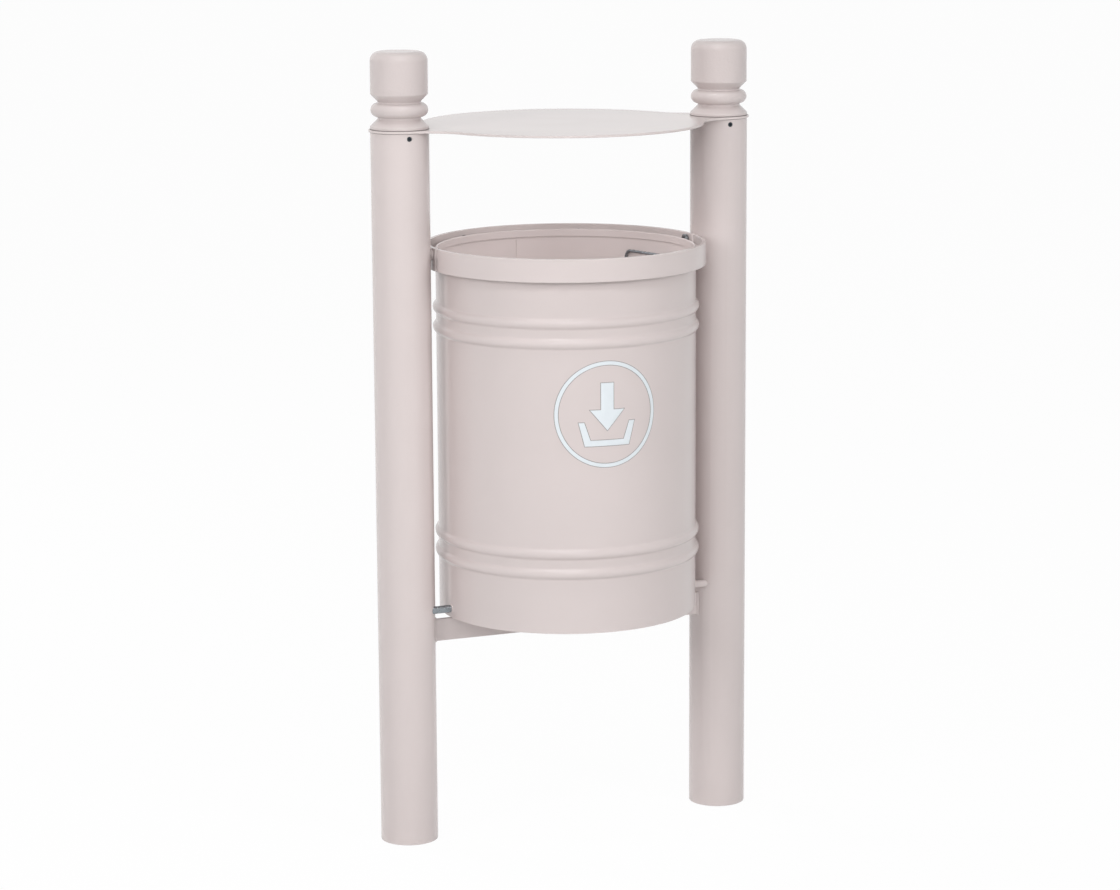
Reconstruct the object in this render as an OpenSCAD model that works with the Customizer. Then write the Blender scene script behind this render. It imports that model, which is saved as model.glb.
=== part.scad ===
// Street waste bin: a round drum hangs between two posts under a flat rain cover.
// The drum tips forward about two low pivot bolts and is locked to a fixed half hoop.
// Origin: on the ground, midway between the post axes. +Z up, +X to the right post, -Y to the front.

/* [Posts] */
// Clear gap between the hoop and a post
post_gap = 2.95; // [2:0.05:8]
// Outer diameter of a post tube
post_d = 76.1; // [74:0.1:78]
// Wall of a post tube
post_wall = 2; // [1.6:0.1:2.6]
// Height of a post tube above the ground
post_h = 947; // [920:1:1000]

/* [Rain cover] */
// Thickness of the cover plate
cover_t = 3; // [2:0.5:5]
// Distance between the edge of the cover's round middle and the side of a post
cover_gap = 1.45; // [0.5:0.05:12]
// Radius of the hollow curve between the round middle and a lug
cover_blend_r = 60; // [40:1:80]
// Rim of a lug round its post
lug_rim = 2.4; // [1.5:0.1:4]

/* [Post caps] */
// Height of a cap above the cover
cap_h = 100; // [90:1:115]
// Depth of a cap's necks below its flange
neck_depth = 10; // [7:0.5:12]
// Rounding of a cap's top edge
cap_edge_r = 12; // [6:1:14]
// Radius of a cap's half-round bead
cap_bead_r = 9; // [8:0.5:9.5]
// Length of a cap's spigot below the cover's top
spigot_l = 28; // [22:1:40]

/* [Drum] */
// Outer diameter of the drum
drum_d = 344; // [336:1:345]
// Height of the drum
drum_h = 485; // [465:1:500]
// Height of the drum's lower edge above the ground
drum_bottom = 303; // [280:1:320]
// Offset of the drum's axis from the plane of the posts
drum_y = -10; // [-12:1:-8]
// Thickness of the drum's sheet
sheet_t = 1.5; // [1.2:0.1:2]
// How far a rolled bead stands out
bead_out = 4.3; // [3:0.1:4.6]
// Outer radius of a rolled bead
bead_r = 7; // [6:0.5:8]
// Distance from the drum's edge to the middle of a pair of beads
bead_inset = 92; // [80:1:110]
// Distance between the two beads of a pair
bead_pitch = 26; // [24:1:34]
// Height of the floor above the drum's lower edge
floor_rise = 23; // [21:1:30]

/* [Hoop] */
// Height of the hoop's flat bar
hoop_h = 30; // [26:1:36]
// Thickness of the hoop's flat bar
hoop_t = 5; // [4:0.5:5]
// Gap between the drum and the hoop
hoop_gap = 8; // [7.5:0.5:8]
// How far the hoop stands above the drum's rim
hoop_above = 6; // [4:1:10]
// Gap between the front and the rear half of the hoop
split_gap = 7; // [5:0.5:9]

/* [Pivot] */
// Diameter of a pivot bolt
pivot_d = 10; // [9:0.5:11]
// How far the pivot lies in front of the drum's axis
pivot_lead = 12; // [10:0.5:13]
// Height of the pivot above the drum's lower edge
pivot_rise = 11.5; // [11:0.5:12]

/* [Cross bar] */
// Height of the cross bar
bar_h = 30; // [25:1:40]
// Thickness of the cross bar
bar_t = 5; // [4:0.5:8]

/* [Lock] */
// Diameter of the lock's turning plug
plug_d = 12; // [10:0.5:13]
// Width across the corners of the triangular key hole
key_d = 8.5; // [7:0.5:9]

/* [Bag bail] */
// Width of the bail between its legs
bail_w = 120; // [100:1:124]
// Height of the bail above its pivot
bail_h = 35; // [28:1:38]
// Diameter of the bail's wire
wire_d = 4; // [3:0.5:4.5]

/* [Hidden] */
$fn = 128;

paint = [0.82, 0.79, 0.78];
zinc = [0.72, 0.74, 0.76];
rubber = [0.13, 0.13, 0.14];

// Clearance between parts that turn in each other, on the radius
running = 0.05;
// Clearance between parts that only pass each other
loose = 0.3;
// Play of a bolt in a drilled hole, on the radius
hole_play = 0.2;
// How far a cutting shape runs past what it cuts
past = 1;

// Posts and cover
post_r = post_d / 2;
post_x = drum_d / 2 + hoop_gap + hoop_t + post_gap + post_r;
cover_r = post_x - post_r - cover_gap;
bore_r = post_r - post_wall;
cover_top = post_h + cover_t;
lug_r = post_r + lug_rim;

// Caps
spigot_r = bore_r - 0.1;
spigot_wall = 6;
cover_hole_r = bore_r + 0.3;
rim_top = 4;
cone_top = rim_top + neck_depth - 0.5;
bead_mid = cone_top + 2.5 + cap_bead_r;
chamfer_bottom = bead_mid + cap_bead_r + 2;
knob_r = post_r - 0.8;
neck_r = post_r - neck_depth;
chamfer_top = chamfer_bottom + knob_r - neck_r;
cap_wall = 5;
screw_z = post_h - 7;
screw_d = 6;
screw_l = 7.5;

// Drum
drum_r = drum_d / 2;
drum_top = drum_bottom + drum_h;
hem_h = 10;
bead_blend_r = 4;
bead_mid_r = drum_r + bead_out - bead_r;
bead_zs = [
    for (end = [bead_inset, drum_h - bead_inset], side = [-1, 1]) drum_bottom + end + side * bead_pitch / 2
];
floor_t = 2;
floor_flange = 14;
floor_z = drum_bottom + floor_rise;
drain_d = 10;
drain_ring_r = 95;

// Hoop
hoop_in_r = drum_r + hoop_gap;
hoop_r = hoop_in_r + hoop_t;
hoop_top = drum_top + hoop_above;
hoop_bottom = hoop_top - hoop_h;
split_y = drum_y - 7;
rear_end_y = split_y + split_gap / 2;
front_end_y = split_y - split_gap / 2;
bolt_d = 8;
bolt_head_d = 14;
bolt_head_h = 4.4;
bolt_hole_d = bolt_d + 2 * hole_play;
bolt_socket_af = 5;
bolt_socket_depth = 2.6;
bolt_past_nut = 2;
bolt_z = hoop_top - 9;
bolt_head_x = sqrt(pow(hoop_in_r, 2) - pow(bolt_head_d / 2 - drum_y, 2));
spacer_d = 16;
hoop_nut_af = 13;
hoop_nut_h = 6.5;
hoop_nut_x = post_x - sqrt(pow(bore_r, 2) - pow(hoop_nut_af / 2, 2));
lug_w = 18;
lug_h = 16;
lug_rise = 3;
lug_angles = [193, 270, 347];
buffer_angles = [62, 118];
buffer_d = 16;
buffer_neck_d = 6;
buffer_button_d = 9;
buffer_button_h = 1.5;

// Pivot
pivot_y = drum_y - pivot_lead;
pivot_z = drum_bottom + pivot_rise;
pivot_wall_x = sqrt(pow(drum_r, 2) - pow(pivot_lead, 2));
bush_d = pivot_d + 4;
bush_out = 0.8;
bush_in = 11;
bush_in_x = pivot_wall_x - bush_in;
washer_d = 2 * pivot_d;
washer_t = 2;
washer_x = bush_in_x - loose - washer_t;
pivot_head_h = 6.4;
pivot_head_af = 1.7 * pivot_d;
sleeve_d = pivot_d + 4;
sleeve_x = post_x - post_r + 2.5;
sleeve_l = 24;

// Cross bar
bar_front_y = pivot_y + 8;
bar_top = drum_bottom - 3;

// Lock: the y values run outward from the rear face of the hoop
cam_y = drum_y + hoop_r + 1.2;
cam_t = 2;
cam_reach = 34;
cam_w = 14;
lock_body_d = plug_d + 4;
housing_back_y = cam_y + 9.8;
collar_d = plug_d + 8;
lock_gap = 14;
lock_z = hoop_bottom - lock_gap - collar_d / 2;
collar_end_y = hoop_r - drum_y;
housing_t = 2;
housing_half_w = cam_reach + 4.5;
lock_nut_af = plug_d + 8;
housing_top = lock_z + lock_nut_af / 2 + 2;
housing_bottom = lock_z - lock_nut_af / 2 - 4;
lock_nut_t = 3;
plug_shoulder_y = cam_y + cam_t;
plug_front_y = housing_back_y + 2;
plug_square = 7;
cam_screw_d = 5;

// Bag bail, in the frame of the chord it lies along
bail_angle = 17.5;
bail_lean = 7;
bail_wall_gap = 6.1;
bail_pivot_u = sqrt(pow(drum_r - sheet_t, 2) - pow(bail_w / 2, 2)) - bail_wall_gap;
bail_depth = 27;
bail_pivot_z = drum_top - bail_depth - bail_h * cos(bail_lean);
bail_bend_r = 8;
foot_bend_r = 6;
ear_t = 3;
ear_d = 12;
ear_outer_v = bail_w / 2 - 8;

// A cylinder along +X from x0, length l
module rod_x(x0, l, d) {
    translate([x0, 0, 0]) rotate([0, 90, 0]) cylinder(h = l, d = d);
}

// A cylinder along +Y from y0, length l
module rod_y(y0, l, d) {
    translate([0, y0, 0]) rotate([-90, 0, 0]) cylinder(h = l, d = d);
}

// Both sides of the bin: the right one as drawn, the left one mirrored
module both_sides() {
    children();
    mirror([1, 0, 0]) children();
}

// A solid that fills one post's outside, used to fit saddles to it
module post_outside(z0, h) {
    translate([post_x, 0, z0]) cylinder(h = h, r = post_r);
}

// Posts: plain round tubes, open at the foot, with holes for cap screw, hoop bolt and pivot sleeve
module post() {
    color(paint) difference() {
        translate([post_x, 0, 0]) cylinder(h = post_h, r = post_r);
        translate([post_x, 0, -past]) cylinder(h = post_h + 2 * past, r = bore_r);
        translate([post_x, 0, screw_z]) rod_y(-post_r - past, post_wall + 2 * past, screw_d + 0.6);
        translate([0, 0, bolt_z]) rod_x(post_x - post_r - past, 2 * post_wall + past, bolt_hole_d);
        translate([0, pivot_y, pivot_z]) rod_x(post_x - post_r - past, post_r + past, sleeve_d);
    }
}

module right_post() {
    post();
}

module left_post() {
    mirror([1, 0, 0]) post();
}

// Caps: hollow castings, turned outline, with a spigot that reaches through the cover into the post
module cap_outline() {
    translate([0, -spigot_l]) square([spigot_r, spigot_l]);
    square([post_r, rim_top]);
    polygon([[0, rim_top], [post_r, rim_top], [neck_r, cone_top], [0, cone_top]]);
    translate([0, cone_top]) square([neck_r, chamfer_bottom - cone_top]);
    intersection() {
        translate([knob_r - cap_bead_r, bead_mid]) circle(r = cap_bead_r);
        translate([neck_r - past, bead_mid - cap_bead_r]) square([cap_bead_r * 2, cap_bead_r * 2]);
    }
    polygon([[0, chamfer_bottom], [neck_r, chamfer_bottom], [knob_r, chamfer_top], [0, chamfer_top]]);
    translate([0, chamfer_top]) square([knob_r, cap_h - cap_edge_r - chamfer_top]);
    translate([0, cap_h - cap_edge_r]) square([knob_r - cap_edge_r, cap_edge_r]);
    intersection() {
        translate([knob_r - cap_edge_r, cap_h - cap_edge_r]) circle(r = cap_edge_r);
        translate([knob_r - cap_edge_r, cap_h - cap_edge_r]) square(cap_edge_r);
    }
}

module cap_hollow() {
    spigot_in_r = spigot_r - spigot_wall;
    neck_in_r = neck_r - cap_wall;
    knob_in_r = knob_r - cap_wall - 3;
    polygon([
        [0, -spigot_l - past], [spigot_in_r, -spigot_l - past], [spigot_in_r, -2],
        [neck_in_r, cone_top - 2], [neck_in_r, chamfer_bottom + 2],
        [knob_in_r, chamfer_top + 2], [knob_in_r, cap_h - cap_edge_r - 2],
        [knob_in_r - cap_edge_r + 2, cap_h - cap_wall], [0, cap_h - cap_wall]
    ]);
}

module cap() {
    color(paint) difference() {
        translate([post_x, 0, cover_top]) rotate_extrude() difference() {
            cap_outline();
            cap_hollow();
        }
        translate([post_x, 0, screw_z]) rod_y(-spigot_r - past, spigot_wall + 2 * past, screw_d);
    }
}

module right_post_cap() {
    cap();
}

module left_post_cap() {
    mirror([1, 0, 0]) cap();
}

// Grub screws that clamp the spigots in the posts, with a hexagon socket
module cap_set_screws() {
    color(zinc) both_sides() translate([post_x, 0, screw_z]) difference() {
        rod_y(-post_r + 0.8, screw_l, screw_d);
        translate([0, -post_r + 0.8 - past, 0]) rotate([-90, 0, 0]) cylinder(h = 3 + past, d = 3.4, $fn = 6);
    }
}

// Rain cover: one plate, a disc that runs in hollow curves into a lug round each post
module cover_outline() {
    to_disc = cover_r + cover_blend_r;
    to_lug = lug_r + cover_blend_r;
    blend_x = (pow(to_disc, 2) - pow(to_lug, 2) + pow(post_x, 2)) / (2 * post_x);
    blend_y = sqrt(pow(to_disc, 2) - pow(blend_x, 2));
    difference() {
        union() {
            circle(r = cover_r, $fn = 256);
            for (side = [-1, 1]) {
                translate([side * post_x, 0]) circle(r = lug_r);
                polygon(side * [[0, 0], [blend_x, -blend_y], [post_x, 0], [blend_x, blend_y]]);
            }
        }
        for (side = [-1, 1], end = [-1, 1]) translate([side * blend_x, end * blend_y]) circle(r = cover_blend_r);
        for (side = [-1, 1]) translate([side * post_x, 0]) circle(r = cover_hole_r);
    }
}

module rain_cover() {
    color(paint) translate([0, 0, post_h]) linear_extrude(cover_t) cover_outline();
}

// Hoop: one flat bar rolled to a circle, cut into a rear half on the posts and a front half on the drum
module hoop_band() {
    translate([0, drum_y, hoop_bottom]) difference() {
        cylinder(h = hoop_h, r = hoop_r, $fn = 256);
        translate([0, 0, -past]) cylinder(h = hoop_h + 2 * past, r = hoop_in_r, $fn = 256);
    }
}

module rear_half_hoop() {
    reach = 2 * hoop_r;
    color(paint) difference() {
        hoop_band();
        translate([-reach, rear_end_y - reach, hoop_bottom - past]) cube([2 * reach, reach, hoop_h + 2 * past]);
        both_sides() translate([0, 0, bolt_z]) rod_x(hoop_in_r - 2 * past, hoop_t + 4 * past, bolt_hole_d);
        for (angle = buffer_angles) translate([0, drum_y, hoop_bottom + hoop_h / 2])
            rotate([0, 0, angle]) rod_x(hoop_in_r - past, hoop_t + 2 * past, buffer_neck_d);
    }
}

module front_half_hoop() {
    reach = 2 * hoop_r;
    color(paint) difference() {
        hoop_band();
        translate([-reach, front_end_y, hoop_bottom - past]) cube([2 * reach, reach, hoop_h + 2 * past]);
    }
}

// Bolts, saddle spacers and weld nuts that hold the rear half of the hoop between the posts
module hoop_bolts() {
    color(zinc) both_sides() translate([0, 0, bolt_z]) difference() {
        union() {
            rod_x(bolt_head_x - bolt_head_h, bolt_head_h, bolt_head_d);
            rod_x(bolt_head_x - past, hoop_nut_x + hoop_nut_h + bolt_past_nut - bolt_head_x + past, bolt_d);
        }
        translate([bolt_head_x - bolt_head_h - past, 0, 0]) rotate([0, 90, 0])
            cylinder(h = bolt_socket_depth + past, d = bolt_socket_af / cos(30), $fn = 6);
    }
}

module hoop_spacers() {
    color(paint) both_sides() difference() {
        translate([0, 0, bolt_z]) rod_x(hoop_in_r, post_x - hoop_in_r, spacer_d);
        translate([0, 0, bolt_z]) rod_x(hoop_in_r - past, post_x - hoop_in_r + 2 * past, bolt_hole_d);
        translate([0, drum_y, hoop_bottom]) cylinder(h = hoop_h, r = hoop_r, $fn = 256);
        post_outside(hoop_bottom, hoop_h);
    }
}

module hoop_nuts() {
    color(zinc) both_sides() translate([hoop_nut_x, 0, bolt_z]) rotate([0, 90, 0]) difference() {
        cylinder(h = hoop_nut_h, d = hoop_nut_af / cos(30), $fn = 6);
        translate([0, 0, -past]) cylinder(h = hoop_nut_h + 2 * past, d = bolt_d);
    }
}

// Rubber buffers in the rear half of the hoop, on which the upright drum leans
module rest_buffers() {
    color(rubber) for (angle = buffer_angles)
        translate([0, drum_y, hoop_bottom + hoop_h / 2]) rotate([0, 0, angle]) difference() {
            union() {
                rod_x(drum_r, hoop_gap + past, buffer_d);
                rod_x(hoop_in_r - past, hoop_t + past, buffer_neck_d);
                rod_x(hoop_r - hole_play, buffer_button_h + hole_play, buffer_button_d);
            }
            translate([0, 0, -hoop_h]) cylinder(h = 2 * hoop_h, r = drum_r + loose, $fn = 256);
            translate([0, 0, -hoop_h]) intersection() {
                difference() {
                    cylinder(h = 2 * hoop_h, r = hoop_r, $fn = 256);
                    cylinder(h = 2 * hoop_h, r = hoop_in_r, $fn = 256);
                }
                difference() {
                    translate([hoop_in_r - past, -hoop_h, 0]) cube([hoop_t + 2 * past, 2 * hoop_h, 2 * hoop_h]);
                    translate([0, 0, hoop_h]) rod_x(hoop_in_r - 2 * past, hoop_t + 4 * past, buffer_neck_d);
                }
            }
        }
}

// Cross bar: a flat bar on edge between the posts, under the drum, on which the tipped drum comes to rest
module cross_bar() {
    color(paint) difference() {
        translate([-post_x, bar_front_y, bar_top - bar_h]) cube([2 * post_x, bar_t, bar_h]);
        both_sides() post_outside(bar_top - bar_h - past, bar_h + 2 * past);
    }
}

// Threaded sleeves welded into the posts' walls and dressed flush, and the bolts on which the drum turns
module pivot_sleeves() {
    color(paint) both_sides() difference() {
        intersection() {
            translate([0, pivot_y, pivot_z]) rod_x(sleeve_x, sleeve_l, sleeve_d);
            post_outside(pivot_z - sleeve_d, 2 * sleeve_d);
        }
        translate([0, pivot_y, pivot_z]) rod_x(sleeve_x - past, sleeve_l + 2 * past, pivot_d);
    }
}

module pivot_bolts() {
    color(zinc) both_sides() translate([0, pivot_y, pivot_z]) {
        rod_x(washer_x - past, sleeve_x + sleeve_l - 4 - washer_x + past, pivot_d);
        translate([washer_x - pivot_head_h, 0, 0]) rotate([0, 90, 0])
            cylinder(h = pivot_head_h, d = pivot_head_af / cos(30), $fn = 6);
    }
}

module pivot_washers() {
    color(zinc) both_sides() translate([0, pivot_y, pivot_z]) difference() {
        rod_x(washer_x, washer_t, washer_d);
        rod_x(washer_x - past, washer_t + 2 * past, pivot_d);
    }
}

// Drum: sheet of one thickness all over, rolled beads with blends, hem round the mouth.
// bead_swell is a bead's bulge on the wall line wall_r, blended by arcs of radius blend_r.
module bead_swell(wall_r, r, blend_r) {
    blend_x = drum_r + bead_blend_r - bead_mid_r;
    blend_z = sqrt(pow(bead_r + bead_blend_r, 2) - pow(blend_x, 2));
    touch = [blend_x, blend_z] * r / (bead_r + bead_blend_r);
    wall_x = wall_r - bead_mid_r;
    translate([bead_mid_r, 0]) {
        intersection() {
            circle(r = r);
            translate([wall_x - past, -bead_r]) square([2 * bead_r, 2 * bead_r]);
        }
        difference() {
            polygon([
                [wall_x - past, -blend_z], [wall_x, -blend_z], [touch[0], -touch[1]],
                [touch[0], touch[1]], [wall_x, blend_z], [wall_x - past, blend_z]
            ]);
            for (end = [-1, 1]) translate([blend_x, end * blend_z]) circle(r = blend_r);
        }
    }
}

module drum_wall_outline() {
    in_r = drum_r - sheet_t;
    difference() {
        union() {
            translate([in_r - 2, drum_bottom]) square([sheet_t + 2, drum_h - sheet_t]);
            for (z = bead_zs) translate([0, z]) bead_swell(drum_r, bead_r, bead_blend_r);
        }
        translate([in_r - 3, drum_bottom - past]) square([3, drum_h + 2 * past]);
        for (z = bead_zs) translate([0, z]) bead_swell(in_r, bead_r - sheet_t, bead_blend_r + sheet_t);
    }
    // The hem is folded inward and lies flat on the wall
    translate([in_r - sheet_t, drum_top - hem_h]) square([sheet_t, hem_h - sheet_t]);
    intersection() {
        translate([in_r, drum_top - sheet_t]) circle(r = sheet_t);
        translate([in_r - sheet_t, drum_top - sheet_t]) square([2 * sheet_t, sheet_t]);
    }
}

module drum_shell() {
    color(paint) difference() {
        translate([0, drum_y, 0]) rotate_extrude($fn = 256) drum_wall_outline();
        both_sides() translate([0, pivot_y, pivot_z]) rod_x(bush_in_x, bush_in + bush_out, bush_d);
    }
}

// Floor: a dished pan with its flange up, with drain holes, set above the skirt that hides the pivots
module drum_floor() {
    in_r = drum_r - sheet_t;
    color(paint) translate([0, drum_y, floor_z]) difference() {
        cylinder(h = floor_t + floor_flange, r = in_r, $fn = 256);
        translate([0, 0, floor_t]) cylinder(h = floor_flange + past, r = in_r - floor_t, $fn = 256);
        for (turn = [0:3]) rotate([0, 0, 45 + turn * 90]) translate([drain_ring_r, 0, -past])
            cylinder(h = floor_t + 2 * past, d = drain_d);
        translate([0, 0, -past]) cylinder(h = floor_t + 2 * past, d = drain_d);
    }
}

// Blocks that hold the front half of the hoop on the drum
module hoop_lugs() {
    color(paint) translate([0, drum_y, 0]) intersection() {
        translate([0, 0, hoop_bottom]) difference() {
            cylinder(h = hoop_h, r = hoop_in_r, $fn = 256);
            translate([0, 0, -past]) cylinder(h = hoop_h + 2 * past, r = drum_r, $fn = 256);
        }
        for (angle = lug_angles) rotate([0, 0, angle])
            translate([drum_r - past, -lug_w / 2, hoop_bottom + lug_rise]) cube([hoop_gap + 2 * past, lug_w, lug_h]);
    }
}

// Bushes welded into the drum's wall, which turn on the pivot bolts
module pivot_bushes() {
    color(paint) both_sides() translate([0, pivot_y, pivot_z]) difference() {
        rod_x(bush_in_x, bush_in + bush_out, bush_d);
        rod_x(bush_in_x - past, bush_in + bush_out + 2 * past, pivot_d + 2 * running);
    }
}

// Lock: a folded housing on the back of the drum, with a body, its nut, a turning plug and a cam.
// The body ends in a collar round the key hole, as far behind the posts as the hoop stands in front.
module lock_housing() {
    inner_half_w = housing_half_w - housing_t;
    start_y = drum_y + sqrt(pow(drum_r, 2) - pow(housing_half_w, 2)) - 2;
    color(paint) difference() {
        translate([-housing_half_w, start_y, housing_bottom])
            cube([2 * housing_half_w, housing_back_y - start_y, housing_top - housing_bottom]);
        translate([-inner_half_w, start_y - past, housing_bottom + housing_t])
            cube([2 * inner_half_w, housing_back_y - housing_t - start_y + past, housing_top - housing_bottom]);
        translate([0, drum_y, housing_bottom - past])
            cylinder(h = housing_top - housing_bottom + 2 * past, r = drum_r, $fn = 256);
        translate([0, 0, lock_z]) rod_y(housing_back_y - housing_t - past, housing_t + 2 * past, lock_body_d);
    }
}

module lock_body() {
    body_y = plug_shoulder_y + loose;
    color(zinc) translate([0, 0, lock_z]) difference() {
        union() {
            rod_y(housing_back_y, collar_end_y - housing_back_y, collar_d);
            rod_y(body_y, housing_back_y - body_y + past, lock_body_d);
        }
        rod_y(body_y - past, collar_end_y - body_y + 2 * past, plug_d + 2 * running);
    }
}

module lock_nut() {
    color(zinc) translate([0, housing_back_y - housing_t - lock_nut_t, lock_z]) rotate([-90, 0, 0]) difference() {
        cylinder(h = lock_nut_t, d = lock_nut_af / cos(30), $fn = 6);
        translate([0, 0, -past]) cylinder(h = lock_nut_t + 2 * past, d = lock_body_d);
    }
}

module lock_plug() {
    color(zinc) translate([0, 0, lock_z]) difference() {
        union() {
            rod_y(plug_shoulder_y, plug_front_y - plug_shoulder_y, plug_d);
            translate([-plug_square / 2, cam_y, -plug_square / 2])
                cube([plug_square, cam_t + past, plug_square]);
        }
        translate([0, plug_front_y - 5, 0]) rotate([-90, 0, 0]) cylinder(h = 5 + past, d = key_d, $fn = 3);
        rod_y(cam_y - past, 5 + past, cam_screw_d);
    }
}

// The cam lies level when open. Turned up, it stands behind the rear half of the hoop.
module lock_cam() {
    tip = cam_reach - cam_w / 2;
    color(zinc) translate([0, cam_y, lock_z]) difference() {
        union() {
            rod_y(0, cam_t, cam_w);
            translate([-tip, 0, 0]) rod_y(0, cam_t, cam_w);
            translate([-tip, 0, -cam_w / 2]) cube([tip, cam_t, cam_w]);
        }
        translate([-plug_square / 2, -past, -plug_square / 2])
            cube([plug_square, cam_t + 2 * past, plug_square]);
    }
}

module cam_screw() {
    color(zinc) translate([0, 0, lock_z]) difference() {
        union() {
            rod_y(cam_y - 2.7, 2.7, 9.5);
            rod_y(cam_y - past, 5 + past - 0.5, cam_screw_d);
        }
        translate([0, cam_y - 2.7 - past, 0]) rotate([-90, 0, 0]) cylinder(h = 1.6 + past, d = 3.5, $fn = 6);
    }
}

// Bag bail: a wire bow inside the mouth. Its frame: X along the chord, Y outward, Z up, origin on its pivot.
module bail_frame() {
    translate([0, drum_y, bail_pivot_z]) rotate([0, 0, bail_angle - 90]) translate([0, bail_pivot_u, 0])
        children();
}

// A quarter bend of the wire, radius r, from +X towards +Z
module wire_bend(r) {
    rotate([90, 0, 0]) rotate_extrude(angle = 90) translate([r, 0]) circle(d = wire_d, $fn = 32);
}

module bag_bail() {
    leg_x = bail_w / 2;
    pin_x = ear_outer_v - ear_t - 3;
    color(zinc) bail_frame() rotate([-bail_lean, 0, 0]) {
        translate([0, 0, bail_h]) rod_x(-leg_x + bail_bend_r, 2 * (leg_x - bail_bend_r), wire_d);
        both_sides() {
            translate([leg_x - bail_bend_r, 0, bail_h - bail_bend_r]) wire_bend(bail_bend_r);
            translate([leg_x, 0, foot_bend_r]) cylinder(h = bail_h - foot_bend_r - bail_bend_r, d = wire_d);
            translate([leg_x - foot_bend_r, 0, foot_bend_r]) mirror([0, 0, 1]) wire_bend(foot_bend_r);
            rod_x(pin_x, leg_x - foot_bend_r - pin_x, wire_d);
        }
    }
}

module bail_ears() {
    color(paint) intersection() {
        bail_frame() both_sides() difference() {
            union() {
                rod_x(ear_outer_v - ear_t, ear_t, ear_d);
                translate([ear_outer_v - ear_t, 0, -ear_d / 2]) cube([ear_t, drum_r - bail_pivot_u, ear_d]);
            }
            rod_x(ear_outer_v - ear_t - past, ear_t + 2 * past, wire_d + 2 * running);
        }
        translate([0, drum_y, drum_bottom]) cylinder(h = drum_h, r = drum_r - sheet_t, $fn = 256);
    }
}

left_post();
right_post();
left_post_cap();
right_post_cap();
cap_set_screws();
rain_cover();
rear_half_hoop();
hoop_bolts();
hoop_spacers();
hoop_nuts();
rest_buffers();
cross_bar();
pivot_sleeves();
pivot_bolts();
pivot_washers();
drum_shell();
drum_floor();
front_half_hoop();
hoop_lugs();
pivot_bushes();
lock_housing();
lock_body();
lock_nut();
bail_ears();
bag_bail();
lock_plug();
lock_cam();
cam_screw();
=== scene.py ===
import math

import bmesh
import bpy
from mathutils import Matrix, Vector, bvhtree


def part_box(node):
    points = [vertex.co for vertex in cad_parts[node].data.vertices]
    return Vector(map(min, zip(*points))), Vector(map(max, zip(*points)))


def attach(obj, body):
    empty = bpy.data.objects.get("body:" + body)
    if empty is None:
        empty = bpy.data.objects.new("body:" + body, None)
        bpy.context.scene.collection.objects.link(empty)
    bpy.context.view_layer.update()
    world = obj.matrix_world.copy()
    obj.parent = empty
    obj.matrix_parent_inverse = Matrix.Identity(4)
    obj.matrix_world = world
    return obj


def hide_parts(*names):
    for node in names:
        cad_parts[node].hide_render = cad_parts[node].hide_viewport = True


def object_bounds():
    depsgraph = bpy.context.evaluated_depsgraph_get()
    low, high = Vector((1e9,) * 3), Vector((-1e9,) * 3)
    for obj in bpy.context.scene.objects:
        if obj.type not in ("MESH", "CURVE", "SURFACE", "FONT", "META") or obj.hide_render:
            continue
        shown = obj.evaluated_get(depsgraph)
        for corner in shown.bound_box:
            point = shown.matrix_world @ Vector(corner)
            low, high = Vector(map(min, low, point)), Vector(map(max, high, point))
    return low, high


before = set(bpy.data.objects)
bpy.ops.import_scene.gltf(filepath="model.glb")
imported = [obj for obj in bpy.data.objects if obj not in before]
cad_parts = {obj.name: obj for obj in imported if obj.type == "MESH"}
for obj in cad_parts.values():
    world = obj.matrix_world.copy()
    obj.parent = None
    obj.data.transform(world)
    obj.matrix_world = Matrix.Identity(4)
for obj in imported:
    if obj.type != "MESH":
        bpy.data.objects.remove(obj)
cad_low, cad_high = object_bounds()

# The photographer's place: a long lens a little over four metres off, to the left of the front
# and looking down by eleven degrees. The angles are in radians, the lens suits a picture that
# is 1120 pixels wide, and the colours are left as they fall on a plain display.
view_from = Vector((-1.68134, -4.13379, 1.38108))
view_yaw, view_pitch, view_roll = 0.38516, 0.1911, 0.00563
picture_width, focal_pixels = 1120, 3400
look = Vector((math.sin(view_yaw) * math.cos(view_pitch),
               math.cos(view_yaw) * math.cos(view_pitch), -math.sin(view_pitch)))
level_right = Vector((math.cos(view_yaw), -math.sin(view_yaw), 0))
level_down = look.cross(level_right)
view_right = level_right * math.cos(view_roll) + level_down * math.sin(view_roll)
view_up = view_right.cross(look)
camera_data = bpy.data.cameras.new("photo_camera")
camera_data.sensor_width = 36
camera_data.lens = focal_pixels / picture_width * camera_data.sensor_width
camera_data.clip_start, camera_data.clip_end = 0.1, 100
camera = bpy.data.objects.new("photo_camera", camera_data)
camera.matrix_world = (Matrix.Translation(view_from)
                       @ Matrix((view_right, view_up, -look)).transposed().to_4x4())
bpy.context.scene.collection.objects.link(camera)
bpy.context.scene.camera = camera
bpy.context.scene.view_settings.view_transform = "Standard"

# The studio: a white floor without an end, a dim even dome, six soft lamps round the bin and a
# small one that lights the drum's inside from under the cover. The camera and bright metal see
# plain white, and the floor keeps a trace of the bin's shadow.
dome_light = 0.25
floor_grey = 0.88
floor_whiteness = 0.97
floor_half = 45
floor_gap = 0.0004


def maths(tree, operation, *values):
    """A Math node's result. Each value is a plain number or an output that is linked in."""
    node = tree.nodes.new("ShaderNodeMath")
    node.operation = operation
    for socket, value in zip(node.inputs, values):
        if isinstance(value, bpy.types.NodeSocket):
            tree.links.new(value, socket)
        else:
            socket.default_value = value
    return node.outputs[0]


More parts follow.
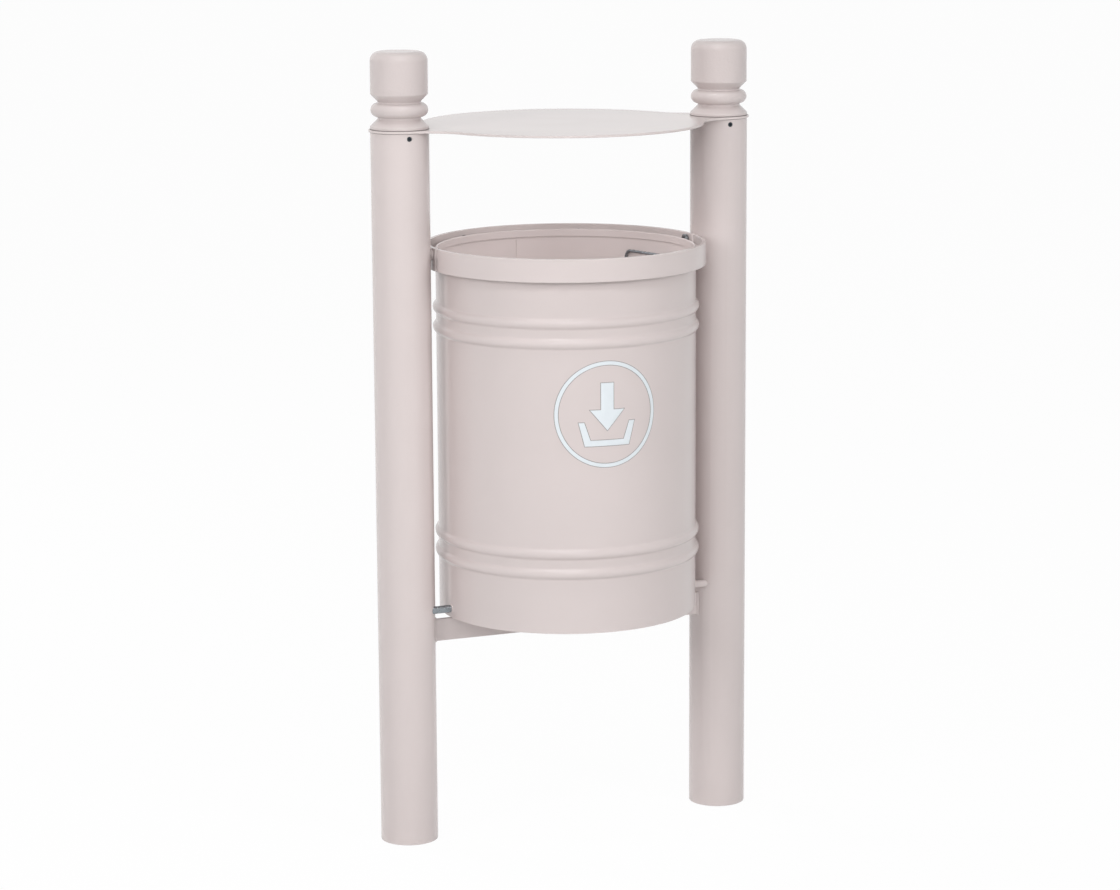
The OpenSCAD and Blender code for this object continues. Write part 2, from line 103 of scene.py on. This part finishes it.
def seen_directly(tree):
    """One for a ray of the camera, of gloss or of glass, which is to see white, and else none."""
    kinds = tree.nodes.new("ShaderNodeLightPath").outputs
    camera_or_gloss = maths(tree, "MAXIMUM", kinds["Is Camera Ray"], kinds["Is Glossy Ray"])
    return maths(tree, "MAXIMUM", camera_or_gloss, kinds["Is Transmission Ray"])


def one_or_other(tree, share, first, second, out):
    """Links two shaders to that output, the second one by its share."""
    mix = tree.nodes.new("ShaderNodeMixShader")
    tree.links.new(share, mix.inputs["Fac"])
    tree.links.new(first.outputs[0], mix.inputs[1])
    tree.links.new(second.outputs[0], mix.inputs[2])
    tree.links.new(mix.outputs[0], tree.nodes.new(out).inputs["Surface"])


world = bpy.data.worlds.new("white_dome")
world.use_nodes = True
sky = world.node_tree
sky.nodes.clear()
dome = sky.nodes.new("ShaderNodeBackground")
dome.inputs["Color"].default_value = (1, 1, 1, 1)
dome.inputs["Strength"].default_value = dome_light
paper = sky.nodes.new("ShaderNodeBackground")
paper.inputs["Color"].default_value = (1, 1, 1, 1)
paper.inputs["Strength"].default_value = 1
one_or_other(sky, seen_directly(sky), dome, paper, "ShaderNodeOutputWorld")
bpy.context.scene.world = world

floor_paper = bpy.data.materials.new("floor_paper")
floor_paper.use_nodes = True
floor_tree = floor_paper.node_tree
floor_tree.nodes.clear()
matt = floor_tree.nodes.new("ShaderNodeBsdfDiffuse")
matt.inputs["Color"].default_value = (floor_grey, floor_grey, floor_grey, 1)
white = floor_tree.nodes.new("ShaderNodeEmission")
white.inputs["Color"].default_value = (1, 1, 1, 1)
floor_share = maths(floor_tree, "MULTIPLY", seen_directly(floor_tree), floor_whiteness)
one_or_other(floor_tree, floor_share, matt, white, "ShaderNodeOutputMaterial")
floor_mesh = bpy.data.meshes.new("floor")
floor_z = cad_low.z - floor_gap
floor_mesh.from_pydata([(x * floor_half, y * floor_half, floor_z)
                        for x, y in ((-1, -1), (1, -1), (1, 1), (-1, 1))], [], [(0, 1, 2, 3)])
floor_mesh.materials.append(floor_paper)
floor = bpy.data.objects.new("floor", floor_mesh)
bpy.context.scene.collection.objects.link(floor)


def soft_lamp(name, place, width, height, watts, mirrored, spread=180):
    """A lamp turned to the middle of the bin, which gloss shows as a bright patch or doesn't."""
    data = bpy.data.lights.new(name, "AREA")
    data.shape = "RECTANGLE"
    data.size, data.size_y = width, height
    data.energy = watts
    data.spread = math.radians(spread)
    lamp = bpy.data.objects.new(name, data)
    lamp.location = place
    lamp.rotation_mode = "QUATERNION"
    middle = (cad_low + cad_high) / 2
    lamp.rotation_quaternion = (middle - Vector(place)).to_track_quat("-Z", "Y")
    lamp.visible_glossy = mirrored
    lamp.visible_camera = False
    bpy.context.scene.collection.objects.link(lamp)


soft_lamp("front_box", (-1.4, -3.0, 1.85), 1.4, 0.9, watts=18, mirrored=False)
soft_lamp("front_strip", (-0.9, -2.3, 2.8), 1.6, 0.1, watts=15, mirrored=True)
soft_lamp("left_box", (-2.6, -1.4, 1.65), 0.6, 1.4, watts=25, mirrored=False)
soft_lamp("right_box", (1.7, -3.0, 1.7), 0.7, 1.2, watts=34, mirrored=False)
soft_lamp("top_box", (-0.4, -0.7, 3.1), 1.8, 0.14, watts=12, mirrored=True)
soft_lamp("mouth_fill", (0, 0.02, 0.935), 0.12, 0.12, watts=0.26, mirrored=False, spread=100)
soft_lamp("back_box", (-1.7, 2.7, 2.2), 1.8, 1.4, watts=40, mirrored=False)

# Posts: 76 mm steel tube with a 2 mm wall, cut square at the foot, with the burr taken off and
# a powder coat in a pale pinkish grey. The coat is half glossy, with faint clouds of tone and
# the faint orange peel of a baked coat.
coat_colour = (0.655, 0.583, 0.572)
coat_dark, coat_light = 0.985, 1.01
coat_smoother, coat_rougher = 0.012, 0.02
same_point = 0.000003
flat_angle, corner_angle = math.radians(0.3), math.radians(38)


def mottled(name, grain, detail, dark, light, dark_at, light_at):
    """A material whose colour runs between a dark and a light tone, by a noise on the object's
    own coordinates. Its shader, place and noise nodes come with it, for the rest of the finish."""
    material = bpy.data.materials.new(name)
    material.use_nodes = True
    tree = material.node_tree
    shader = tree.nodes["Principled BSDF"]
    place = tree.nodes.new("ShaderNodeTexCoord")
    noise = tree.nodes.new("ShaderNodeTexNoise")
    noise.inputs["Scale"].default_value = grain
    noise.inputs["Detail"].default_value = detail
    tone = tree.nodes.new("ShaderNodeValToRGB")
    dark_stop, light_stop = tone.color_ramp.elements
    dark_stop.position, light_stop.position = dark_at, light_at
    dark_stop.color, light_stop.color = (*dark, 1), (*light, 1)
    tree.links.new(place.outputs["Object"], noise.inputs["Vector"])
    tree.links.new(noise.outputs["Fac"], tone.inputs["Fac"])
    tree.links.new(tone.outputs["Color"], shader.inputs["Base Color"])
    return material, shader, place, noise


def uneven_gloss(tree, noise, shader, smoothest, roughest):
    gloss = tree.nodes.new("ShaderNodeMapRange")
    gloss.inputs["To Min"].default_value = smoothest
    gloss.inputs["To Max"].default_value = roughest
    tree.links.new(noise.outputs["Fac"], gloss.inputs["Value"])
    tree.links.new(gloss.outputs["Result"], shader.inputs["Roughness"])


# A coat_painted_shade under one darkens the whole coat's colour, as painted shade.
def powder_coat(name, peel_scale, peel_depth, roughness, coat_painted_shade):
    material, shader, place, clouds = mottled(
        name, grain=7, detail=2, dark=[c * coat_painted_shade * coat_dark for c in coat_colour],
        light=[c * coat_painted_shade * coat_light for c in coat_colour], dark_at=0.32, light_at=0.68)
    tree = material.node_tree
    uneven_gloss(tree, clouds, shader, roughness - coat_smoother, roughness + coat_rougher)
    peel = tree.nodes.new("ShaderNodeTexNoise")
    peel.inputs["Scale"].default_value = peel_scale
    peel.inputs["Detail"].default_value = 3
    bump = tree.nodes.new("ShaderNodeBump")
    bump.inputs["Strength"].default_value = 1
    bump.inputs["Distance"].default_value = peel_depth
    tree.links.new(place.outputs["Object"], peel.inputs["Vector"])
    tree.links.new(peel.outputs["Fac"], bump.inputs["Height"])
    tree.links.new(bump.outputs["Normal"], shader.inputs["Normal"])
    return material


def shown(name, mesh, material):
    piece = bpy.data.objects.new(name, mesh)
    mesh.materials.clear()
    mesh.materials.append(material)
    bpy.context.scene.collection.objects.link(piece)
    return piece


def plain_mesh(piece):
    """Turns the piece's modifiers into a plain mesh at the origin."""
    bpy.context.view_layer.update()
    depsgraph = bpy.context.evaluated_depsgraph_get()
    made = bpy.data.meshes.new_from_object(piece.evaluated_get(depsgraph), depsgraph=depsgraph)
    piece.modifiers.clear()
    piece.data = made
    made.name = piece.name


def eased(node, edge, material, body, steps=2, side=None):
    """Makes the piece that stands for the CAD node, or for its left or right half, with smooth
    rounds and its corners eased by that radius."""
    shape = bmesh.new()
    shape.from_mesh(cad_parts[node].data)
    if side:
        away = [v for v in shape.verts if (v.co.x > 0) != (side == "right")]
        bmesh.ops.delete(shape, geom=away, context="VERTS")
    bmesh.ops.remove_doubles(shape, verts=shape.verts, dist=same_point)
    bmesh.ops.dissolve_limit(shape, angle_limit=flat_angle, verts=shape.verts, edges=shape.edges)
    name = node + "_" + (side or "eased")
    mesh = bpy.data.meshes.new(name)
    shape.to_mesh(mesh)
    shape.free()
    for layer in ("custom_normal", "sharp_face", "sharp_edge"):
        if layer in mesh.attributes:
            mesh.attributes.remove(mesh.attributes[layer])
    mesh.shade_smooth()
    piece = shown(name, mesh, material)
    ease = piece.modifiers.new("ease", "BEVEL")
    ease.width = edge
    ease.segments = steps
    ease.limit_method = "ANGLE"
    ease.angle_limit = corner_angle
    ease.use_clamp_overlap = False
    even = piece.modifiers.new("even", "WEIGHTED_NORMAL")
    even.mode = "FACE_AREA"
    even.weight = 80
    even.keep_sharp = True
    plain_mesh(piece)
    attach(piece, body)
    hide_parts(node)


steel_coat = powder_coat("powder_coat_on_steel", 380, 0.00002, roughness=0.2, coat_painted_shade=1)
for node in ("left_post", "right_post"):
    eased(node, 0.0005, steel_coat, "post_frame")

# Post caps: turned and cast aluminium, with a half-round bead between two necks. The casting's
# skin shows through the same coat as a coarser grain, and the corners are soft.
# the caps take the same coat colour painted a shade darker: painted shade
cast_coat = powder_coat("powder_coat_on_casting", 300, 0.0003, roughness=0.22, coat_painted_shade=0.93)
for node in ("left_post_cap", "right_post_cap"):
    eased(node, 0.0009, cast_coat, "post_frame", steps=3)

# Cap set screws: M6 grub screws with a hexagon socket, zinc plated, their colour darkened as
# painted shade of the drilled hole they sit in, just under the face of the post.
zinc_colour = (0.33, 0.36, 0.385)
screw_zinc_painted_shade_colour = (0.085, 0.1, 0.115)
bloom_dark = 0.72
zinc_smoother, zinc_rougher = 0.06, 0.12


def zinc_plate(name, tone, roughness):
    material, shader, _, bloom = mottled(
        name, grain=160, detail=6, dark=[c * bloom_dark for c in tone], light=tone,
        dark_at=0.3, light_at=0.72)
    shader.inputs["Metallic"].default_value = 1
    uneven_gloss(material.node_tree, bloom, shader,
                 roughness - zinc_smoother, roughness + zinc_rougher)
    return material


zinc = zinc_plate("bright_zinc", zinc_colour, 0.24)
# zinc darkened nearly to black: painted shade of the screws' holes
zinc_with_painted_shade = zinc_plate("zinc_darkened_as_painted_shade", screw_zinc_painted_shade_colour, 0.38)
eased("cap_set_screws", 0.0002, zinc_with_painted_shade, "post_frame")

# Rain cover: one flat 3 mm steel plate, laser cut and clamped between posts and caps. Its
# edges are broken before coating and catch a thin line of light.
eased("rain_cover", 0.0006, steel_coat, "post_frame")

# Hoop: 30 by 5 mm flat bar rolled to a circle and sawn through. The rear half is bolted to the
# posts; the front half is welded to the drum by three small blocks, the lugs.
for node, body in (("rear_half_hoop", "post_frame"), ("front_half_hoop", "drum")):
    eased(node, 0.0008, steel_coat, body)
eased("hoop_lugs", 0.0005, steel_coat, "drum")

# Hoop bolts: M8 button heads on the inside, saddle spacers that fit the round posts, and nuts
# welded inside the tubes, which take the thread.
eased("hoop_bolts", 0.0003, zinc, "post_frame")
eased("hoop_spacers", 0.0004, steel_coat, "post_frame")
eased("hoop_nuts", 0.0003, zinc, "post_frame")

# Rest buffers: two round studs that are pressed into the rear half hoop, for the drum to lean
# on. Moulded black rubber, matt, with a faint grain.
rubber, rubber_shader, _, _ = mottled(
    "moulded_rubber", grain=600, detail=2, dark=(0.018, 0.018, 0.019), light=(0.04, 0.04, 0.042),
    dark_at=0, light_at=1)
rubber_shader.inputs["Roughness"].default_value = 0.72
eased("rest_buffers", 0.0008, rubber, "post_frame")

# Cross bar: a 30 by 5 mm flat bar under the drum that ties the posts together, coped to their
# round and welded all round, with a rippled bead. The drum's tilt ends just short of it.
eased("cross_bar", 0.0008, steel_coat, "post_frame")
weld_ripple = 1.5
steps_per_ripple = 4
ripple_depth = 0.1
thinnest, thickest = 0.92, 1.04


def weld_tree():
    """Geometry nodes that lay a rippled bead of weld along a path of edges."""
    tree = bpy.data.node_groups.new("weld_bead", "GeometryNodeTree")
    for name, kind in (("Path", "Geometry"), ("Bead radius", "Float"), ("Ripple pitch", "Float"),
                       ("Seed", "Int"), ("Coat", "Material")):
        tree.interface.new_socket(name, in_out="INPUT", socket_type="NodeSocket" + kind)
    tree.interface.new_socket("Bead", in_out="OUTPUT", socket_type="NodeSocketGeometry")
    given = tree.nodes.new("NodeGroupInput").outputs
    to_curve = tree.nodes.new("GeometryNodeMeshToCurve")
    steps = tree.nodes.new("GeometryNodeResampleCurve")
    steps.mode = "LENGTH"
    along = tree.nodes.new("GeometryNodeSplineParameter")
    uneven = tree.nodes.new("FunctionNodeRandomValue")
    uneven.data_type = "FLOAT"
    uneven.inputs["Min"].default_value = thinnest
    uneven.inputs["Max"].default_value = thickest
    swell = tree.nodes.new("GeometryNodeSetCurveRadius")
    section = tree.nodes.new("GeometryNodeCurvePrimitiveCircle")
    section.inputs["Resolution"].default_value = 8
    sweep = tree.nodes.new("GeometryNodeCurveToMesh")
    sweep.inputs["Fill Caps"].default_value = True
    realize = tree.nodes.new("GeometryNodeRealizeInstances")
    paint = tree.nodes.new("GeometryNodeSetMaterial")
    made = tree.nodes.new("NodeGroupOutput")
    step = maths(tree, "MULTIPLY", given["Ripple pitch"], 1 / steps_per_ripple)
    ripples = maths(tree, "DIVIDE", along.outputs["Length"], given["Ripple pitch"])
    wave = maths(tree, "SINE", maths(tree, "MULTIPLY", ripples, 2 * math.pi))
    ripple = maths(tree, "MULTIPLY_ADD", wave, ripple_depth, uneven.outputs[1])
    tree.links.new(given["Path"], to_curve.inputs["Mesh"])
    tree.links.new(to_curve.outputs["Curve"], steps.inputs["Curve"])
    tree.links.new(step, steps.inputs["Length"])
    tree.links.new(given["Seed"], uneven.inputs["Seed"])
    tree.links.new(steps.outputs["Curve"], swell.inputs["Curve"])
    tree.links.new(ripple, swell.inputs["Radius"])
    tree.links.new(given["Bead radius"], section.inputs["Radius"])
    tree.links.new(swell.outputs["Curve"], sweep.inputs["Curve"])
    tree.links.new(section.outputs["Curve"], sweep.inputs["Profile Curve"])
    tree.links.new(sweep.outputs["Mesh"], realize.inputs["Geometry"])
    tree.links.new(realize.outputs["Geometry"], paint.inputs["Geometry"])
    tree.links.new(given["Coat"], paint.inputs["Material"])
    tree.links.new(paint.outputs["Geometry"], made.inputs["Bead"])
    return tree


weld_bead = weld_tree()


def bead(name, body, paths, radius, ripple, seed, coat):
    """Beads along paths, each a list of points and whether it closes."""
    points, edges = [], []
    for path, closes in paths:
        first = len(points)
        points += path
        edges += [(first + i, first + i + 1) for i in range(len(path) - 1)]
        if closes:
            edges.append((len(points) - 1, first))
    mesh = bpy.data.meshes.new(name)
    mesh.from_pydata(points, edges, [])
    piece = shown(name, mesh, coat)
    lay = piece.modifiers.new("lay", "NODES")
    lay.node_group = weld_bead
    given = {s.name: s.identifier for s in weld_bead.interface.items_tree if s.in_out == "INPUT"}
    lay[given["Bead radius"]] = radius
    lay[given["Ripple pitch"]] = ripple
    lay[given["Seed"]] = seed
    lay[given["Coat"]] = coat
    plain_mesh(piece)
    piece.data.shade_smooth()
    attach(piece, body)
    return piece


def weld(name, body, paths, radius, seed):
    piece = bead(name, body, paths, radius, radius * weld_ripple, seed, steel_coat)


post_low, post_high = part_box("right_post")
post_x = (post_low.x + post_high.x) / 2
post_r = (post_high.y - post_low.y) / 2
bar_low, bar_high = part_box("cross_bar")
bar_heights = [bar_low.z, (bar_low.z + bar_high.z) / 2, bar_high.z]


def on_post(side, y, z):
    return Vector((side * (post_x - math.sqrt(post_r ** 2 - y ** 2)), y, z))


bar_welds = []
for side in (-1, 1):
    ring = [on_post(side, bar_low.y, z) for z in bar_heights]
    ring += [on_post(side, bar_high.y, z) for z in reversed(bar_heights)]
    bar_welds.append((ring, True))
weld("cross_bar_welds", "post_frame", bar_welds, radius=0.0016, seed=3)

# Pivots: M10 bolts with their washers inside the drum's skirt, through bushes and screwed into
# sleeves that are welded into the posts and dressed flush. The right one is set before coating,
# and the left one closes the drum in afterwards and stays bare zinc.
eased("pivot_sleeves", 0.0002, steel_coat, "post_frame")
eased("pivot_washers", 0.0003, zinc, "post_frame")
eased("pivot_bolts", 0.0003, zinc, "post_frame", side="left")
eased("pivot_bolts", 0.0003, steel_coat, "post_frame", side="right")
eased("pivot_bushes", 0.0002, steel_coat, "drum")

# Drum: 1.5 mm steel sheet rolled to a cylinder, with two pairs of beads rolled in, a hem at the
# rim and a butt weld down the back, ground flat outside and left as a low bead inside. Its
# section is taken from the CAD wall, away from the bushes, and turned round the axis.
drum_low, drum_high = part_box("drum_shell")
pan_low, pan_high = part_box("drum_floor")
drum_y = (pan_low.y + pan_high.y) / 2
drum_surface = bvhtree.BVHTree.FromPolygons(
    [v.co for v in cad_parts["drum_shell"].data.vertices],
    [tuple(f.vertices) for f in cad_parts["drum_shell"].data.polygons])
section_angle, section_rows, section_slack = math.radians(-60), 1200, 0.000012
past_wall, off_rim = 0.4, 0.00002
wall_turns, hem_corner = 256, math.radians(40)


def first_hit(start, way):
    """The first point of the drum's wall on a ray, or none."""
    return drum_surface.ray_cast(start, way)[0]


def wall_outline(angle):
    """The wall's section there, as reach from the axis and height, up outside and down inside."""
    way = Vector((math.cos(angle), math.sin(angle), 0))
    lowest, rise = drum_low.z + off_rim, drum_high.z - drum_low.z - 2 * off_rim
    axis = [Vector((0, drum_y, lowest + rise * i / section_rows)) for i in range(section_rows + 1)]
    outside = [(spot, first_hit(spot + way * past_wall, -way)) for spot in axis]
    inside = [(spot, first_hit(spot, way)) for spot in axis]
    return [((hit - spot).length, spot.z) for spot, hit in outside + inside[::-1] if hit]


def thinned(line, slack):
    """The line without the points that lie within that distance of it."""
    kept, open_runs = {0, len(line) - 1}, [(0, len(line) - 1)]
    while open_runs:
        first, last = open_runs.pop()
        run = Vector(line[last]) - Vector(line[first])
        far, where = slack, None
        for i in range(first + 1, last):
            off = Vector(line[i]) - Vector(line[first])
            away = abs(run.x * off.y - run.y * off.x) / run.length if run.length else off.length
            if away > far:
                far, where = away, i
        if where:
            kept.add(where)
            open_runs += [(first, where), (where, last)]
    return [line[i] for i in sorted(kept)]


wall_section = thinned(wall_outline(section_angle), section_slack)
wall_rows = len(wall_section)
wall_angles = [2 * math.pi * i / wall_turns for i in range(wall_turns)]
wall_points = [(reach * math.cos(angle), drum_y + reach * math.sin(angle), z)
               for angle in wall_angles for reach, z in wall_section]
wall_faces = []
for i in range(wall_turns):
    here, there = i * wall_rows, (i + 1) % wall_turns * wall_rows
    for row in range(wall_rows):
        next_row = (row + 1) % wall_rows
        wall_faces.append((here + row, there + row, there + next_row, here + next_row))
wall_mesh = bpy.data.meshes.new("drum_wall")
wall_mesh.from_pydata(wall_points, [], wall_faces)
wall_mesh.shade_smooth()
wall_mesh.set_sharp_from_angle(angle=hem_corner)
drum_wall = shown("drum_wall", wall_mesh, steel_coat)
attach(drum_wall, "drum")
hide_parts("drum_shell")

# the seam stands a degree off the middle of the back, and follows the beads up to the hem
seam_angle = math.radians(91)
seam_way = Vector((math.cos(seam_angle), math.sin(seam_angle), 0))
above_pan, below_rim, seam_steps = 0.001, 0.014, 240
seam_low, seam_rise = pan_high.z + above_pan, drum_high.z - below_rim - pan_high.z
seam = [first_hit(Vector((0, drum_y, seam_low + seam_rise * i / seam_steps)), seam_way)
        for i in range(seam_steps + 1)]
weld("drum_seam", "drum", [(seam, False)], radius=0.0009, seed=11)

# Floor: a pan pressed from 2 mm sheet with its flange turned up, fixed in the drum above the
# skirt that hides the pivots. Five drilled holes let the rain out.
eased("drum_floor", 0.0004, steel_coat, "drum")

# Lug welds: the three blocks between the drum and the front half hoop are welded down both
# sides, on the drum's wall and inside the hoop.
foot_slack = 0.0004


def foot_lines(node, nearest):
    """The upright edges where each loose part of a node stands on the drum or inside the hoop."""
    shape = bmesh.new()
    shape.from_mesh(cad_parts[node].data)
    bmesh.ops.remove_doubles(shape, verts=shape.verts, dist=same_point)
    left, lines = set(shape.verts), []
    for start in shape.verts:
        if start not in left:
            continue
        left.remove(start)
        part = [start]
        for vertex in part:
            others = [edge.other_vert(vertex) for edge in vertex.link_edges]
            near = [other for other in others if other in left]
            left.difference_update(near)
            part += near
        offsets = [(v.co.x, v.co.y - drum_y, v.co.z) for v in part]
        spots = [(math.hypot(x, y), math.atan2(y, x), z) for x, y, z in offsets]
        reach = min(spots)[0] if nearest else max(spots)[0]
        foot = [spot for spot in spots if abs(spot[0] - reach) < foot_slack]
        angles = [angle for _, angle, _ in foot]
        heights = [z for _, _, z in foot]
        for angle in (min(angles), max(angles)):
            x, y = reach * math.cos(angle), drum_y + reach * math.sin(angle)
            lines.append(([Vector((x, y, z)) for z in (min(heights), max(heights))], False))
    shape.free()
    return lines


weld("lug_welds", "drum", foot_lines("hoop_lugs", True) + foot_lines("hoop_lugs", False),
     radius=0.0013, seed=5)

# Sign: a pictogram cut from white vinyl film and stuck on the front of the drum, with a dark film
# just wider than it under its cut edges as a painted shadow. An arrow points down into an open
# tray, in a ring.
sign_ring_r, sign_stroke = 0.069, 0.0047
sign_angle, sign_z = math.radians(-94.4), 0.591
arrow_w, arrow_head_w, arrow_top, arrow_neck, arrow_tip = 0.017, 0.046, 0.041, 0.006, -0.021
tray_w, tray_foot_w, tray_wall, tray_top, tray_base = 0.076, 0.060, 0.0075, -0.010, -0.041
ring_steps = 192
bend_pitch, bends_each_way = 0.0025, 28
film_dark = 0.97


def ring_line(radius, turn):
    angles = [turn * i * math.pi / (ring_steps / 2) for i in range(ring_steps)]
    return [(radius * math.cos(angle), radius * math.sin(angle)) for angle in angles]


def mirrored(half):
    return half + [(-u, v) for u, v in reversed(half)]


sign_outlines = [
    ring_line(sign_ring_r, 1),
    ring_line(sign_ring_r - sign_stroke, -1),
    mirrored([(0, arrow_tip), (arrow_head_w / 2, arrow_neck),
              (arrow_w / 2, arrow_neck), (arrow_w / 2, arrow_top)]),
    mirrored([(tray_foot_w / 2, tray_base), (tray_w / 2, tray_top),
              (tray_w / 2 - tray_wall, tray_top),
              (tray_foot_w / 2 - tray_wall, tray_base + tray_wall)])]
sign_r = drum_y - first_hit(Vector((0, -1, sign_z)), Vector((0, 1, 0))).y


def plain_film(name, tone, roughness):
    material, shader, _, _ = mottled(
        name, grain=90, detail=4, dark=[c * film_dark for c in tone], light=tone,
        dark_at=0.3, light_at=0.7)
    shader.inputs["Roughness"].default_value = roughness
    return material


def film(name, wider, lift, thickness, material):
    """The sign's outlines cut from film of that thickness and laid round the drum."""
    outline = bpy.data.curves.new(name, "CURVE")
    outline.dimensions, outline.fill_mode = "2D", "BOTH"
    outline.extrude, outline.offset = thickness / 2, wider
    for line in sign_outlines:
        spline = outline.splines.new("POLY")
        spline.points.add(len(line) - 1)
        spline.use_cyclic_u = True
        for point, (u, v) in zip(spline.points, line):
            point.co = (u, v, 0, 1)
    flat = bpy.data.objects.new(name + "_outline", outline)
    bpy.context.scene.collection.objects.link(flat)
    bpy.context.view_layer.update()
    depsgraph = bpy.context.evaluated_depsgraph_get()
    mesh = bpy.data.meshes.new_from_object(flat.evaluated_get(depsgraph))
    bpy.data.objects.remove(flat)
    shape = bmesh.new()
    shape.from_mesh(mesh)
    bmesh.ops.remove_doubles(shape, verts=shape.verts, dist=same_point)
    for i in range(-bends_each_way, bends_each_way + 1):
        bmesh.ops.bisect_plane(shape, geom=shape.verts[:] + shape.edges[:] + shape.faces[:],
                               dist=same_point, plane_co=(i * bend_pitch, 0, 0), plane_no=(1, 0, 0))
    for vertex in shape.verts:
        u, v, w = vertex.co
        angle, out = sign_angle + u / sign_r, sign_r + lift + thickness / 2 + w
        vertex.co = (out * math.cos(angle), drum_y + out * math.sin(angle), sign_z + v)
    shape.to_mesh(mesh)
    shape.free()
    piece = shown(name, mesh, material)
    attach(piece, "drum")


# a dark film a little wider than the sign: a painted shadow along its cut edges
painted_edge_shadow = plain_film("painted_edge_shadow", (0.3, 0.275, 0.27), 0.8)
white_vinyl = plain_film("white_vinyl", (0.75, 0.80, 0.835), 0.42)
film("sign_painted_shadow_line", wider=0.0008, lift=0.00004, thickness=0.00004, material=painted_edge_shadow)
film("sign_film", wider=0, lift=0.00005, thickness=0.00018, material=white_vinyl)

# Joint shade: a fine dark line painted round each post where cap, cover and post meet, one
# above the cover and one under it, as painted shade of the narrow gaps there.
cover_low, cover_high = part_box("rain_cover")
joint_painted_shade = plain_film("joint_painted_shade", (0.17, 0.15, 0.145), 0.9)
shade_line_steps, shade_line_ripple = 96, 0.006
over_in, over_up, under_down = 0.0001, 0.0003, 0.0001


def round_posts(radius, height):
    turn = 2 * math.pi / shade_line_steps
    return [([(side * post_x + radius * math.cos(turn * i), radius * math.sin(turn * i), height)
              for i in range(shade_line_steps)], True) for side in (-1, 1)]


# a dark ring just above the cover: painted shade of the gap under the cap's rim
bead("painted_shade_over_cover", "post_frame", round_posts(post_r - over_in, cover_high.z + over_up),
     radius=0.0006, ripple=shade_line_ripple, seed=5, coat=joint_painted_shade)
# a dark ring just under the cover: painted shadow of the plate on the post
bead("painted_shade_under_cover", "post_frame", round_posts(post_r, cover_low.z - under_down),
     radius=0.0005, ripple=shade_line_ripple, seed=6, coat=joint_painted_shade)

# Lock: a folded steel housing on the drum's back with a die-cast cam lock for a triangular key,
# held by a thin nut. Its cam turns up behind the rear half hoop.
nickel = zinc_plate("dull_nickel", (0.58, 0.57, 0.55), 0.34)
eased("lock_housing", 0.0006, steel_coat, "drum")
weld("housing_welds", "drum", foot_lines("lock_housing", True), radius=0.0014, seed=7)
eased("lock_body", 0.0004, nickel, "drum")
eased("lock_nut", 0.0003, zinc, "drum")
eased("lock_plug", 0.0002, nickel, "lock_cylinder")
eased("lock_cam", 0.0003, nickel, "lock_cylinder")
eased("cam_screw", 0.0002, zinc, "lock_cylinder")

# Bag bail: a bow of 4 mm zinc-plated wire that swings out of two small ears welded to the
# inside of the drum. It clamps the edge of a bag.
eased("bag_bail", 0.0004, zinc, "bail")
eased("bail_ears", 0.0004, steel_coat, "drum")
weld("ear_welds", "drum", foot_lines("bail_ears", False), radius=0.0009, seed=9)
